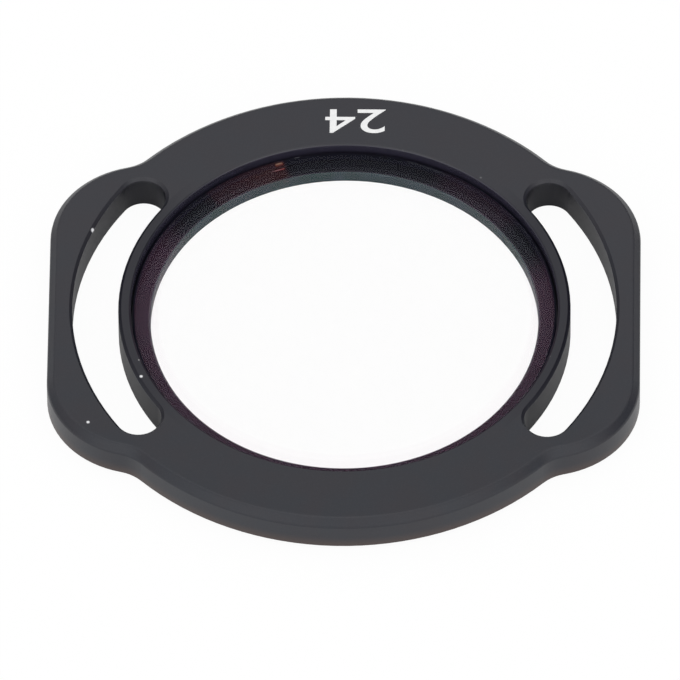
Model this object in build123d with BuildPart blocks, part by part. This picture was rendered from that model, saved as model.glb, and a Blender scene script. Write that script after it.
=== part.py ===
from build123d import *
import math
import os

# Drone camera UV filter: a flat disc of coated glass, bonded into a one-piece
# machined frame. The frame is a ring with two ears. Each ear has an arc slot
# that the hooks of a camera hood reach through.
#
# Millimetres. The rear face, which lies against the camera, is z = 0, and the
# origin is on the optical axis. +X runs across the ears and +Z out of the front.
# The sizes follow from the aperture outwards: the lip and bore, then the slots,
# then the plate's outline.

# Stepped bore: the glass drops in from the front and rests on a lip
aperture_diameter = 23.6
aperture_break = 0.06
lip_width = 1.2
lip_thickness = 0.85
bore_break = 0.1

# Glass, and the film of adhesive that holds it on the lip
glass_thickness = 1.0
glass_side_clearance = 0.1
glass_bevel = 0.12
bond_thickness = 0.1
bond_setback = 0.15

# Slots for the hooks, beyond a thin wall around the bore
slot_wall = 0.76
slot_width = 2.8
slot_half_angle = 35.2
slot_front_break = 0.18
slot_rear_break = 0.2

# Plate: the ring reaches this far beyond the bore, and the ears beyond the slots
frame_thickness = 2.5
ring_band = 4.2
ear_side_rim = 1.44
ear_end_rim = 1.46
ear_corner_radius = 5.9
neck_radius = 2.6

# Outer edges of the plate
front_chamfer = 0.45
front_chamfer_round = 0.25
rear_chamfer = 0.35

# Worked out from the values above
aperture_radius = aperture_diameter / 2
bore_radius = aperture_radius + lip_width
glass_radius = bore_radius - glass_side_clearance
ring_radius = bore_radius + ring_band
slot_centre_radius = bore_radius + slot_wall + slot_width / 2
slot_side_reach = slot_centre_radius + slot_width / 2
slot_end_reach = slot_centre_radius * math.sin(math.radians(slot_half_angle)) + slot_width / 2
overall_width = 2 * (slot_side_reach + ear_side_rim)
ear_height = 2 * (slot_end_reach + ear_end_rim)

os.makedirs("parts", exist_ok=True)

# Frame, machined from one plate, blasted and anodised black
with BuildPart() as frame:
    # The outline is a ring over a rounded rectangle, whose corners make the ears.
    # Growing it and then shrinking it by the same amount leaves a hollow curve of
    # that radius at each of the four necks, where an ear's corner meets the ring.
    with BuildSketch():
        Circle(ring_radius)
        RectangleRounded(overall_width, ear_height, ear_corner_radius)
        offset(amount=neck_radius)
        offset(amount=-neck_radius)
    extrude(amount=frame_thickness)

    # The rear edge is chamfered. The front one too, with both edges of its chamfer
    # rounded over.
    chamfer(frame.faces().sort_by(Axis.Z)[0].edges(), rear_chamfer)
    chamfer(frame.faces().sort_by(Axis.Z)[-1].edges(), front_chamfer)
    chamfer_top = frame.edges().group_by(Axis.Z)[-1]
    chamfer_foot = frame.edges().group_by(Axis.Z)[-3]
    fillet(chamfer_top + chamfer_foot, front_chamfer_round)

    # Two arc slots, right through, with full-round ends
    with BuildSketch():
        with PolarLocations(0, 2):
            SlotArc(
                CenterArc((0, 0), slot_centre_radius, -slot_half_angle, 2 * slot_half_angle),
                slot_width,
            )
    extrude(amount=frame_thickness, mode=Mode.SUBTRACT)
    for slot_mouth in frame.faces().sort_by(Axis.Z)[-1].inner_wires():
        chamfer(slot_mouth.edges(), slot_front_break)
    for slot_mouth in frame.faces().sort_by(Axis.Z)[0].inner_wires():
        chamfer(slot_mouth.edges(), slot_rear_break)

    # The bore for the glass stops at the lip, and the aperture goes right through
    with Locations((0, 0, frame_thickness)):
        CounterBoreHole(
            radius=aperture_radius,
            counter_bore_radius=bore_radius,
            counter_bore_depth=frame_thickness - lip_thickness,
        )
    round_edges = frame.edges().filter_by(GeomType.CIRCLE)
    bore_mouth = round_edges.filter_by(lambda edge: math.isclose(edge.radius, bore_radius))
    chamfer(bore_mouth.sort_by(Axis.Z)[-1], bore_break)
    aperture_rims = round_edges.filter_by(lambda edge: math.isclose(edge.radius, aperture_radius))
    chamfer(aperture_rims, aperture_break)

# Film of cured adhesive on the lip
with BuildPart() as bond:
    with BuildSketch(Plane.XY.offset(lip_thickness)):
        Circle(glass_radius - glass_bevel)
        Circle(aperture_radius + bond_setback, mode=Mode.SUBTRACT)
    extrude(amount=bond_thickness)

# Flat optical glass, coated on both faces, with its rims bevelled
with BuildPart() as glass:
    with BuildSketch(Plane.XY.offset(lip_thickness + bond_thickness)):
        Circle(glass_radius)
    extrude(amount=glass_thickness)
    chamfer(glass.edges().filter_by(GeomType.CIRCLE), glass_bevel)

frame.part.label = "filter_frame"
bond.part.label = "glass_bond_film"
glass.part.label = "filter_glass"

export_step(frame.part, "parts/filter_frame.step")
export_step(bond.part, "parts/glass_bond_film.step")
export_step(glass.part, "parts/filter_glass.step")
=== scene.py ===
# %% [markdown]
# A UV filter for a drone's camera, dressed for the studio. The real one is a plate of
# aluminium no bigger than a large coin, blasted and anodised black, with a disc of coated
# glass bonded into it. The solids are already right, so this lesson is about finishes:
# what a matte black metal shows when it lies in an all-white room, and how little a good
# coating lets glass reflect.

# %% Load the solids
import math

import bmesh
import bpy
from mathutils import Matrix, Vector


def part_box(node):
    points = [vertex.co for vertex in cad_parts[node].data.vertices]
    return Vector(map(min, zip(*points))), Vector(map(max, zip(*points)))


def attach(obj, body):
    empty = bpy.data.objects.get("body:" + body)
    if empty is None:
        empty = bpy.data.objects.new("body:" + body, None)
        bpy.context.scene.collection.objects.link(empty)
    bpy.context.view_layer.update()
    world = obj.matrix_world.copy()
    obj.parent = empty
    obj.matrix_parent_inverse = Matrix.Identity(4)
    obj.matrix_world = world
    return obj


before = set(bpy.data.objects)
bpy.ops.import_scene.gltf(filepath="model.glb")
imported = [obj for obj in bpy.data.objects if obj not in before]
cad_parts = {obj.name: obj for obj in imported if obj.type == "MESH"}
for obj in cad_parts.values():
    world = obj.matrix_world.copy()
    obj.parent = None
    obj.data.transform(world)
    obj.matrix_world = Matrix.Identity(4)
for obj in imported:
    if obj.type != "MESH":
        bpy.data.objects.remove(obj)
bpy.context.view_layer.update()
MM = 0.001
print("nodes:", sorted(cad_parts))

# %% [markdown]
# The sizes that the finishes need come from the solids themselves. The glass sits on a lip
# inside the bore, so its box gives the height of the lip, and the plate's box gives the
# height of the front face. That way a finish stays on its edge if the solids change. Both
# slots end just inside the radius called slots_reach.

# %% Read the sizes from the solids
plate_low, plate_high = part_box("filter_frame")
glass_low, glass_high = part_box("filter_glass")
front_height = plate_high.z
plate_points = [vertex.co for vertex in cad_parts["filter_frame"].data.vertices]
aperture_radius = min(point.xy.length for point in plate_points)
bore_radius = min(point.xy.length for point in plate_points if point.z > glass_high.z)
glass_points = [vertex.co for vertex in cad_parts["filter_glass"].data.vertices]
flat_radius = max(p.xy.length for p in glass_points if p.z > glass_high.z - 0.01 * MM)
slots_reach = bore_radius + 3.7 * MM
print("front face at", round(front_height / MM, 3), "mm")
print("glass from", round(glass_low.z / MM, 3), "to", round(glass_high.z / MM, 3), "mm")
print("bore and aperture radius:", round(bore_radius / MM, 3), round(aperture_radius / MM, 3), "mm")

# %% [markdown]
# A camera is a place, a direction and a lens. The photograph was taken with a long lens
# from far away, about 50 degrees above the plate. The camera is put together from its own
# three directions: forward into the plate, right along the picture's rows, and up its
# columns. Then it steps back from the point on the plate that it was aimed by.

# %% Camera
PICTURE_SIDE = 680
axis_seen_at = (344.4, 307.4)
axis_point = Vector((0, 0, front_height - 0.1 * MM))
camera_distance = 1500 * MM
camera_elevation = math.radians(49.65)
camera_turn = math.radians(1.10)
camera_roll = math.radians(-0.55)
pixels_per_metre = 16.443 / MM

forward = Vector((0, math.cos(camera_elevation), -math.sin(camera_elevation)))
level_right = Vector((1, 0, 0))
level_up = Vector((0, math.sin(camera_elevation), math.cos(camera_elevation)))
right = math.cos(camera_roll) * level_right + math.sin(camera_roll) * level_up
up = -math.sin(camera_roll) * level_right + math.cos(camera_roll) * level_up
turn = Matrix.Rotation(camera_turn, 3, "Z")
forward, right, up = turn @ forward, turn @ right, turn @ up

aside = (axis_seen_at[0] - PICTURE_SIDE / 2) / pixels_per_metre
above = (PICTURE_SIDE / 2 - axis_seen_at[1]) / pixels_per_metre
camera_place = axis_point - forward * camera_distance - right * aside - up * above

camera_data = bpy.data.cameras.new("camera")
camera_data.sensor_width = 36
camera_data.lens = camera_data.sensor_width * pixels_per_metre * camera_distance / PICTURE_SIDE
camera_data.clip_start = camera_distance / 4
camera_data.clip_end = camera_distance * 4
camera = bpy.data.objects.new("camera", camera_data)
bpy.context.scene.collection.objects.link(camera)
camera_axes = Matrix((right, up, -forward)).transposed()
camera.matrix_world = Matrix.Translation(camera_place) @ camera_axes.to_4x4()
bpy.context.scene.camera = camera
bpy.context.scene.view_settings.view_transform = "Standard"
print("lens", round(camera_data.lens), "mm, from", [round(c, 3) for c in camera_place])

# %% [markdown]
# Finishes are sums over a surface: a mask here, a grain there. Blender writes each sum as a
# node with wires, which is hard to read as text. This small class wraps one output of a
# node, so that sums can be written the usual way, and each sign adds the node it stands for.


# %% A value that changes over a surface
class Reading:
    """One output of a node, with the sums that the finishes use."""

    def __init__(self, nodes, socket):
        self.nodes = nodes
        self.socket = socket

    def __add__(self, other):
        return self.nodes.math("ADD", self, other)

    def __radd__(self, other):
        return self.nodes.math("ADD", other, self)

    def __sub__(self, other):
        return self.nodes.math("SUBTRACT", self, other)

    def __rsub__(self, other):
        return self.nodes.math("SUBTRACT", other, self)

    def __mul__(self, other):
        return self.nodes.math("MULTIPLY", self, other)

    def __rmul__(self, other):
        return self.nodes.math("MULTIPLY", other, self)

    def __pow__(self, other):
        return self.nodes.math("POWER", self, other)

    def larger(self, other):
        return self.nodes.math("MAXIMUM", self, other)

    def smaller(self, other):
        return self.nodes.math("MINIMUM", self, other)


# %% [markdown]
# Every node is added by one method, which takes its kind, its settings, and what goes into
# its sockets. The rest are short names for the few kinds of node that come up again and
# again: a soft step from 0 to 1, a mix of two colours, and a noise of a given grain size.


# %% A tree of nodes
class Nodes:
    """The node tree of a material or of the world, built up by one method."""

    def __init__(self, owner):
        self.owner = owner
        owner.use_nodes = True
        self.tree = owner.node_tree
        self.tree.nodes.clear()

    def node(self, kind, settings=None, sockets=None, out=0):
        node = self.tree.nodes.new("ShaderNode" + kind)
        for name, value in (settings or {}).items():
            setattr(node, name, value)
        for name, value in (sockets or {}).items():
            if isinstance(value, Reading):
                self.tree.links.new(value.socket, node.inputs[name])
            else:
                node.inputs[name].default_value = value
        if isinstance(out, tuple):
            return [Reading(self, node.outputs[name]) for name in out]
        return Reading(self, node.outputs[out]) if node.outputs else None

    def math(self, operation, first, second):
        return self.node("Math", {"operation": operation}, {0: first, 1: second})

    def step(self, value, low, high):
        settings = {"interpolation_type": "SMOOTHSTEP"}
        sockets = {"Value": value, "From Min": low, "From Max": high}
        return self.node("MapRange", settings, sockets)

    def zone(self, value, low, high, blur):
        """1 from low to high, and 0 outside, with edges as wide as the blur."""
        rising = self.step(value, low - blur / 2, low + blur / 2)
        falling = self.step(value, high - blur / 2, high + blur / 2)
        return rising - falling

    def mix(self, share, first, second):
        """A mix of two colours, whose sockets come after those for numbers and vectors."""
        sockets = {0: share, 6: first, 7: second}
        return self.node("Mix", {"data_type": "RGBA"}, sockets, out=2)

    def noise(self, place, grain, detail=2, seed=0):
        settings = {"noise_dimensions": "4D"}
        sockets = {"Vector": place, "W": seed, "Scale": 1 / grain, "Detail": detail}
        return self.node("TexNoise", settings, sockets)


def paint(red, green, blue):
    """A colour as a picture stores it, from 0 to 255, made linear for the shader."""
    def linear(level):
        share = level / 255
        return share / 12.92 if share <= 0.04045 else ((share + 0.055) / 1.055) ** 2.4
    return (linear(red), linear(green), linear(blue), 1)


print("a middle grey is", [round(c, 3) for c in paint(128, 128, 128)])

# %% [markdown]
# The room is white all round, as on a light table. To the camera, and through glass, it is
# plain white. What lights the plate is a little dimmer and not as even. A real table has an
# edge, and beyond it, near the horizon, the room is dark. That low dark band is higher on
# the right, and it stops short of the front, where the camera stands. The front is brighter
# than the rest, most of all where two pale panels stand to the left and right of the
# camera.

# %% The white room
BAND_HEIGHT = 0.34
BAND_TILT = 0.12
BAND_DARKNESS = 0.9
BASE_LEVEL = 0.9
FRONT_EXTRA = 0.18
PANEL_EXTRA = 0.55

world = bpy.data.worlds.new("studio")
bpy.context.scene.world = world
room = Nodes(world)
toward = room.node("TexCoord", out="Generated")
axes = ("X", "Y", "Z")
toward_right, toward_back, height = room.node("SeparateXYZ", sockets={"Vector": toward}, out=axes)
band_top = BAND_HEIGHT + BAND_TILT * toward_right
band = (1 - room.step(height - band_top, -0.10, 0.08)) * room.step(height, -0.02, 0.02)
band *= room.step(toward_back, -0.55, -0.2)
from_camera, through_glass = room.node("LightPath", out=("Is Camera Ray", "Is Transmission Ray"))
seen_plain = from_camera.larger(through_glass)
to_one_side = room.math("ABSOLUTE", toward_right, 0)
panels = room.step(to_one_side, 0.05, 0.4) * room.step(toward_back, -0.3, -0.6)
in_front = room.step(toward_back, -0.2, -0.6)
room_level = BASE_LEVEL + FRONT_EXTRA * in_front + PANEL_EXTRA * panels
lit_level = room_level * (1 - BAND_DARKNESS * band)
level = seen_plain + (1 - seen_plain) * lit_level
background = room.node("Background", sockets={"Color": (1, 1, 1, 1), "Strength": level})
room.node("OutputWorld", sockets={"Surface": background})
print("world nodes:", len(room.tree.nodes))

# %% [markdown]
# The floor is a sheet of white paper. It is drawn mostly as plain white, so that it meets
# the room without a line, but a part of it is real paper, which keeps the soft shadow that
# the plate casts. What the plate's walls reflect is the real paper, which is darker inside
# the narrow slots, where little of the room's light comes down.

# %% Floor
FLOOR_SIDE = 8.0
FLOOR_DROP = 0.02 * MM
sheet = bmesh.new()
bmesh.ops.create_grid(sheet, x_segments=1, y_segments=1, size=FLOOR_SIDE / 2)
bmesh.ops.translate(sheet, verts=sheet.verts, vec=(0, 0, -FLOOR_DROP))
floor_mesh = bpy.data.meshes.new("floor")
sheet.to_mesh(floor_mesh)
sheet.free()
floor = bpy.data.objects.new("floor", floor_mesh)
bpy.context.scene.collection.objects.link(floor)

paper = Nodes(bpy.data.materials.new("white_paper"))
plain_share = 0.95
ray_kinds = ("Is Camera Ray", "Is Glossy Ray", "Is Transmission Ray")
from_camera, off_gloss, through_glass = paper.node("LightPath", out=ray_kinds)
drawn = from_camera.larger(through_glass)
place = paper.node("TexCoord", out="Object")
from_axis = paper.node("VectorMath", {"operation": "LENGTH"}, {0: place}, out="Value")
open_paper = paper.step(from_axis, slots_reach, slots_reach + 0.4 * MM)
drawn = drawn.larger(off_gloss * open_paper)
real_paper = paper.node("BsdfDiffuse", sockets={"Color": (0.9, 0.9, 0.9, 1)})
plain_white = paper.node("Emission", sockets={"Color": (1, 1, 1, 1), "Strength": 1})
sheet_look = paper.node("MixShader", sockets={0: plain_share * drawn, 1: real_paper, 2: plain_white})
paper.node("OutputMaterial", sockets={"Surface": sheet_look})
floor_mesh.materials.append(paper.owner)
print("floor", FLOOR_SIDE, "m across")

# %% [markdown]
# One large softbox hangs over the plate, turned low, since the room gives most of the
# light. It gives the shadow on the paper a direction, which is down, and the upward faces
# a little more light than the walls.

# %% Softbox
SOFTBOX_SIDE = 0.5
SOFTBOX_HEIGHT = 0.6
SOFTBOX_WATTS = 0.6

softbox_data = bpy.data.lights.new("softbox", "AREA")
softbox_data.shape = "SQUARE"
softbox_data.size = SOFTBOX_SIDE
softbox_data.energy = SOFTBOX_WATTS
softbox = bpy.data.objects.new("softbox", softbox_data)
bpy.context.scene.collection.objects.link(softbox)
softbox.location = (0, 0, SOFTBOX_HEIGHT)
print("softbox", SOFTBOX_SIDE, "m wide,", SOFTBOX_WATTS, "W")

# %% [markdown]
# The frame is aluminium that was blasted with fine grit and then anodised black. The dye
# sits in a thin hard layer, so the surface is a dark dielectric and not bare metal: it
# keeps a weak, wide, grey reflection. The grit leaves a grain of a few hundredths of a
# millimetre, which a bump map carries, since no outline shows it. The front face is painted
# paler toward the far side, and a little toward the ears, as painted light, not as dye.

# %% Black anodised finish
GRIT_SIZE = 0.09 * MM
MOTTLE_SIZE = 2.5 * MM

black = Nodes(bpy.data.materials.new("black_anodised"))
place = black.node("TexCoord", out="Object")
x, y, z = black.node("SeparateXYZ", sockets={"Vector": place}, out=("X", "Y", "Z"))
from_axis = (x * x + y * y) ** 0.5

grain = black.noise(place, GRIT_SIZE, detail=3)
mottle = black.noise(place, MOTTLE_SIZE, detail=2, seed=3)
cool = paint(20, 24, 34)
warm = paint(24, 23, 32)
dye_and_painted_light = black.mix(black.step(mottle, 0.35, 0.65), cool, warm)

from_middle = black.math("ABSOLUTE", x, 0)
on_front = black.step(z, front_height - 0.4 * MM, front_height - 0.2 * MM)
toward_far_side = black.step(y, -14 * MM, 12 * MM)
toward_ears = black.step(from_middle, 14 * MM, 17 * MM)
# painted light: the front face is made paler toward the far side and toward the ears
painted_paleness = 0.45 * toward_far_side + 0.1 * toward_ears
dye_and_painted_light = black.mix(painted_paleness * on_front, dye_and_painted_light, paint(38, 37, 44))
specks_and_painted_light = black.mix(0.3 * black.step(grain, 0.45, 0.75), dye_and_painted_light, paint(44, 44, 50))
print("grit", round(GRIT_SIZE / MM, 2), "mm, mottle", round(MOTTLE_SIZE / MM, 2), "mm")

# %% [markdown]
# The same black looks different in each place of the photograph, since light and shade fall
# differently there, so each place is painted a tone of its own. The walls inside the plate
# are painted darker than its outer wall, as shade in the recesses, and so is the narrow land
# between the bore and each slot. The foot of the outer wall is painted paler and brownish,
# as light from the floor. The bore is painted bluish, as it shows under the coated glass, and
# the wall of the aperture a paler blue green, as painted light. The narrow bevel round the
# near half of the bore is painted as flat shade, with no shine.

# %% Walls, bore and aperture
in_plate = 1 - black.step(from_axis, slots_reach, slots_reach + 0.2 * MM)
# painted shade: the walls inside the plate are darkened, as shade in the recesses
specks_and_painted_light = black.mix(in_plate * (1 - on_front), specks_and_painted_light, paint(2, 2, 16))
# painted shade: the narrow land between the bore and each slot is darkened
painted_shade_on_land = black.zone(from_axis, bore_radius, bore_radius + 0.7 * MM, 0.1 * MM)
painted_shade_on_land *= black.step(from_middle, 9 * MM, 12 * MM) * on_front
specks_and_painted_light = black.mix(painted_shade_on_land, specks_and_painted_light, paint(9, 9, 24))
# painted light: the foot of the outer wall is made paler and brownish, as light from the floor
foot_painted_light = (1 - in_plate) * (1 - black.step(z, 0.35 * MM, 1.2 * MM))
specks_and_painted_light = black.mix(0.7 * foot_painted_light, specks_and_painted_light, paint(62, 46, 40))

in_bore = 1 - black.step(from_axis, bore_radius + 0.01 * MM, bore_radius + 0.05 * MM)
# painted light: the bore is made bluish, as it shows under the coated glass
specks_and_painted_light = black.mix(in_bore, specks_and_painted_light, paint(41, 39, 52))
# painted shade: the bevel round the near half of the bore loses its shine
near_rim_painted_shade = black.zone(from_axis, bore_radius, bore_radius + 0.12 * MM, 0.04 * MM)
near_rim_painted_shade *= black.step(y, 3 * MM, -2 * MM)
on_aperture = 1 - black.step(from_axis, aperture_radius + 0.02 * MM, aperture_radius + 0.06 * MM)
# painted light: the wall of the aperture is made a paler blue green, as it looks lit through the
# glass
aperture_painted_light = black.mix(black.step(mottle, 0.42, 0.58), paint(46, 68, 70), paint(56, 73, 82))
specks_and_painted_light = black.mix(on_aperture, specks_and_painted_light, aperture_painted_light)
print("walls are toned from", round(aperture_radius / MM, 2), "to", round(slots_reach / MM, 2), "mm")

# %% [markdown]
# Dust is what a close photograph never lacks. Each speck is a small ragged spot of pale
# grey, given by its place across and along the plate, its height above the rear face, its
# radius and its level, from 0 for black to 255 for white. The first four are dust; the last
# three are dimmer pale spots on the edge of the bore.

# %% Specks of dust, and pale spots on the edge of the bore
specks = (
    (-15.41, 6.11, 2.35, 0.17, 235),
    (-15.42, -9.31, 2.50, 0.13, 225),
    (-12.27, -5.66, 2.50, 0.13, 225),
    (-12.42, -4.36, 2.50, 0.08, 150),
    # the last three: dimmer pale spots on the edge of the bore
    (3.41, 12.56, 2.50, 0.09, 98),
    (8.21, 10.38, 2.50, 0.10, 88),
    (12.50, -3.90, 2.50, 0.10, 80),
)
ragged = 0.06 * MM * black.noise(place, 0.08 * MM, detail=1, seed=11)
for across, along, up_from_rear, radius, level in specks:
    centre = (across * MM, along * MM, up_from_rear * MM)
    gap = black.node("VectorMath", {"operation": "DISTANCE"}, {0: place, 1: centre}, out="Value")
    spot = 1 - black.step(gap + ragged, 0.55 * radius * MM, 1.3 * radius * MM)
    specks_and_painted_light = black.mix(spot, specks_and_painted_light, paint(level, level, level + 3))
print("specks:", len(specks))

# %% [markdown]
# Now the colour, the grain and the shine come together in one surface, which is a little
# smoother inside the bore. The bevel with no shine is a plain diffuse surface of painted
# shade, laid over the other by its own mask.

# %% Put the black finish together
bump = black.node("Bump", sockets={"Strength": 0.35, "Distance": 0.01 * MM, "Height": grain})
surface = black.node(
    "BsdfPrincipled",
    sockets={
        "Base Color": specks_and_painted_light,
        "Roughness": 0.42 - 0.16 * in_bore,
        "IOR": 1.5,
        "Normal": bump,
    },
)
# painted shade: a flat dim diffuse in place of the near bevel's shine
painted_shade_bevel = black.node("BsdfDiffuse", sockets={"Color": paint(44, 40, 47)})
frame_look = black.node("MixShader", sockets={0: near_rim_painted_shade, 1: surface, 2: painted_shade_bevel})
black.node("OutputMaterial", sockets={"Surface": frame_look})
print("black finish nodes:", len(black.tree.nodes))

# %% [markdown]
# Each face of the glass has a coating that takes out most of its reflection. What is left
# is reddish, and it only shows against the dark lip, since white behind glass stays white.
# A true reflection as faint as this one renders as scattered dots, so here it is a thin
# veil of colour, laid over the lip and just inside its edge. It comes and goes round the
# rim, so its share follows the angle, measured in degrees from the far side.

# %% Coated glass
VEIL_SHARE = 0.02

glass = Nodes(bpy.data.materials.new("coated_glass"))
place = glass.node("TexCoord", out="Object")
x, y, z = glass.node("SeparateXYZ", sockets={"Vector": place}, out=("X", "Y", "Z"))
swing = glass.math("ARCTAN2", x, y) * math.degrees(1)
from_axis = (x * x + y * y) ** 0.5
left_flank = glass.step(swing, -52, -68)
right_flank = glass.step(swing, 66, 80) + 0.35 * glass.zone(swing, 28, 54, 8)
warm_patch = glass.zone(swing, -42, -17.7, 1.2) * (0.6 + 0.35 * glass.step(swing, -38, -22))
reddish = (left_flank + right_flank + warm_patch).smaller(1)
coated = glass.node(
    "BsdfPrincipled",
    sockets={
        "Base Color": (1, 1, 1, 1),
        "Roughness": 0,
        "IOR": 1.5,
        "Transmission Weight": 1,
        "Specular Tint": (0.02, 0.03, 0.06, 1),
    },
)
veil_colour = glass.mix(warm_patch, paint(235, 148, 200), paint(228, 120, 110))
veil = glass.node("BsdfDiffuse", sockets={"Color": veil_colour})
over_lip = glass.step(from_axis, aperture_radius - 0.6 * MM, aperture_radius - 0.3 * MM)
tinged = glass.node("MixShader", sockets={0: VEIL_SHARE * reddish * over_lip, 1: coated, 2: veil})
print("veil over the lip: at most", VEIL_SHARE, "of the surface")

# %% [markdown]
# A few small lights of the studio catch the rim of the glass, and their glints are painted
# highlights: a warm lamp on the left, with a streak that trails off round the rim, and thin
# pale dashes. Each is a short arc, given by the angles it runs between, its distance from
# the axis, its width and its colour. They lie on the upper face. Beyond the flat of the
# faces, the rim of the glass is blackened.

# %% Painted glints on the rim
glints = (
    (-20.6, -17.9, 12.52, 0.34, paint(80, 42, 38)),
    (-20.2, -18.4, 12.60, 0.12, paint(124, 98, 86)),
    (-21.5, -18.0, 12.11, 0.22, paint(66, 34, 38)),
    (-20.6, -18.2, 12.12, 0.08, paint(108, 60, 60)),
    (-22.6, -19.6, 12.12, 0.06, paint(104, 82, 86)),
    (-27.5, -22.0, 12.11, 0.05, paint(70, 58, 62)),
    (-14.8, -12.8, 12.76, 0.06, paint(86, 87, 92)),
    (10.3, 10.9, 12.72, 0.16, paint(66, 66, 74)),
    (16.5, 20.5, 12.68, 0.05, paint(58, 60, 66)),
    (20.5, 29.0, 12.64, 0.05, paint(62, 64, 70)),
)
glint_mask = glass.node("Value")
glint_colour = paint(32, 28, 34)
# painted highlights: each glint is a diffuse spot of its own colour on the glass
for start, end, radius, width, colour in glints:
    radius, width = radius * MM, width * MM
    along = glass.zone(swing, start, end, 1.1)
    across = glass.zone(from_axis, radius - width / 2, radius + width / 2, 0.9 * width)
    glint = along * across
    glint_mask = glint_mask.larger(glint)
    glint_colour = glass.mix(glint, glint_colour, colour)
above = glass.step(z, glass_high.z - 0.2 * MM, glass_high.z - 0.1 * MM)
on_rim = glass.step(from_axis, flat_radius - 0.01 * MM, flat_radius + 0.01 * MM)
rim_colour = glass.mix(on_rim, glint_colour, paint(36, 36, 48))
rim_colour = glass.mix(glint_mask * above, rim_colour, glint_colour)
covered = on_rim.larger(glint_mask * above)
glint_face = glass.node("BsdfDiffuse", sockets={"Color": rim_colour})
glass_look = glass.node("MixShader", sockets={0: covered, 1: tinged, 2: glint_face})
glass.node("OutputMaterial", sockets={"Surface": glass_look})
print("glints:", len(glints), "and glass nodes:", len(glass.tree.nodes))

# %% [markdown]
# The adhesive is a thin dark resin between the glass and the lip. On the real one no air
# lies between it and the glass, so it gets no shine of its own. Its colour is even.

# %% Cured adhesive
cured = Nodes(bpy.data.materials.new("cured_adhesive"))
resin = cured.node(
    "BsdfPrincipled",
    sockets={"Base Color": paint(31, 31, 38), "Roughness": 0.35, "Specular IOR Level": 0.0},
)
cured.node("OutputMaterial", sockets={"Surface": resin})
print("adhesive nodes:", len(cured.tree.nodes))

# %% [markdown]
# Each solid wears one finish. Any material that a solid came with is cleared first, so
# that the finish is the only one left.

# %% Dress the solids
for name, finish in (
    ("filter_frame", black),
    ("filter_glass", glass),
    ("glass_bond_film", cured),
):
    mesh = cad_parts[name].data
    mesh.materials.clear()
    mesh.materials.append(finish.owner)
    print(name, "wears", finish.owner.name)

# %% [markdown]
# The film of adhesive lies against the glass with nothing between. Two faces in one plane
# flicker when drawn, so the film is drawn two hundredths of a millimetre smaller. Only
# what is drawn shrinks, the solid stays as it is.

# %% Part the film from the glass
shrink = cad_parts["glass_bond_film"].modifiers.new("shrink", "DISPLACE")
shrink.strength = -0.02 * MM
shrink.mid_level = 0
print("film drawn smaller by", abs(shrink.strength) / MM, "mm")

# %% [markdown]
# The mark is ink, printed on the front face beyond the bore: a plain number, the clear
# aperture to the nearest whole millimetre. It reads from the far side, so it is turned
# half round. Type is a curve, so it is made a mesh first. Then its points are joined into
# one closed skin, scaled to the size that was measured, and set into the face by a hair.

# %% Printed number
MARK_CENTRE = Vector((0.5 * MM, 14.88 * MM, 0))
MARK_WIDTH = 3.7 * MM
MARK_HEIGHT = 1.9 * MM
INK_THICKNESS = 0.024 * MM
INK_SUNK = 0.004 * MM

type_curve = bpy.data.curves.new("number", "FONT")
type_curve.body = "24"
type_curve.extrude = 0.01
type_curve.bevel_depth = 0.004
type_curve.bevel_resolution = 1
type_curve.resolution_u = 8
type_object = bpy.data.objects.new("number", type_curve)
mark_mesh = bpy.data.meshes.new_from_object(type_object)
mark_mesh.name = "printed_number"

ink = bmesh.new()
ink.from_mesh(mark_mesh)
bmesh.ops.remove_doubles(ink, verts=ink.verts, dist=1e-5)
low = Vector([min(v.co[axis] for v in ink.verts) for axis in range(3)])
high = Vector([max(v.co[axis] for v in ink.verts) for axis in range(3)])
wanted = Vector((MARK_WIDTH, MARK_HEIGHT, INK_THICKNESS))
scale = [wanted[axis] / (high[axis] - low[axis]) for axis in range(3)]
centre = MARK_CENTRE + Vector((0, 0, front_height - INK_SUNK + INK_THICKNESS / 2))
place_type = (
    Matrix.Translation(centre)
    @ Matrix.Rotation(math.pi, 4, "Z")
    @ Matrix.Diagonal((*scale, 1))
    @ Matrix.Translation(-(low + high) / 2)
)
bmesh.ops.transform(ink, matrix=place_type, verts=ink.verts)
bmesh.ops.recalc_face_normals(ink, faces=ink.faces)
open_edges = sum(1 for edge in ink.edges if len(edge.link_faces) != 2)
ink.to_mesh(mark_mesh)
ink.free()
mark = bpy.data.objects.new("printed_number", mark_mesh)
bpy.context.scene.collection.objects.link(mark)
bpy.data.objects.remove(type_object)
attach(mark, "root")
print("number:", len(mark_mesh.polygons), "faces,", open_edges, "open edges")
print("width to height as typed:", round((high - low).x / (high - low).y, 3))

# %% [markdown]
# White ink over black shows a trace of what is under it wherever it went on thin, so its
# colour wavers a little, and so does its shine.

# %% White ink
white = Nodes(bpy.data.materials.new("white_ink"))
place = white.node("TexCoord", out="Object")
thin = white.step(white.noise(place, 0.25 * MM, detail=3, seed=7), 0.35, 0.75)
ink_colour = white.mix(0.35 * thin, paint(232, 232, 232), paint(205, 205, 208))
satin = white.node(
    "BsdfPrincipled", sockets={"Base Color": ink_colour, "Roughness": 0.45 + 0.15 * thin}
)
white.node("OutputMaterial", sockets={"Surface": satin})
mark_mesh.materials.append(white.owner)
print("ink nodes:", len(white.tree.nodes))
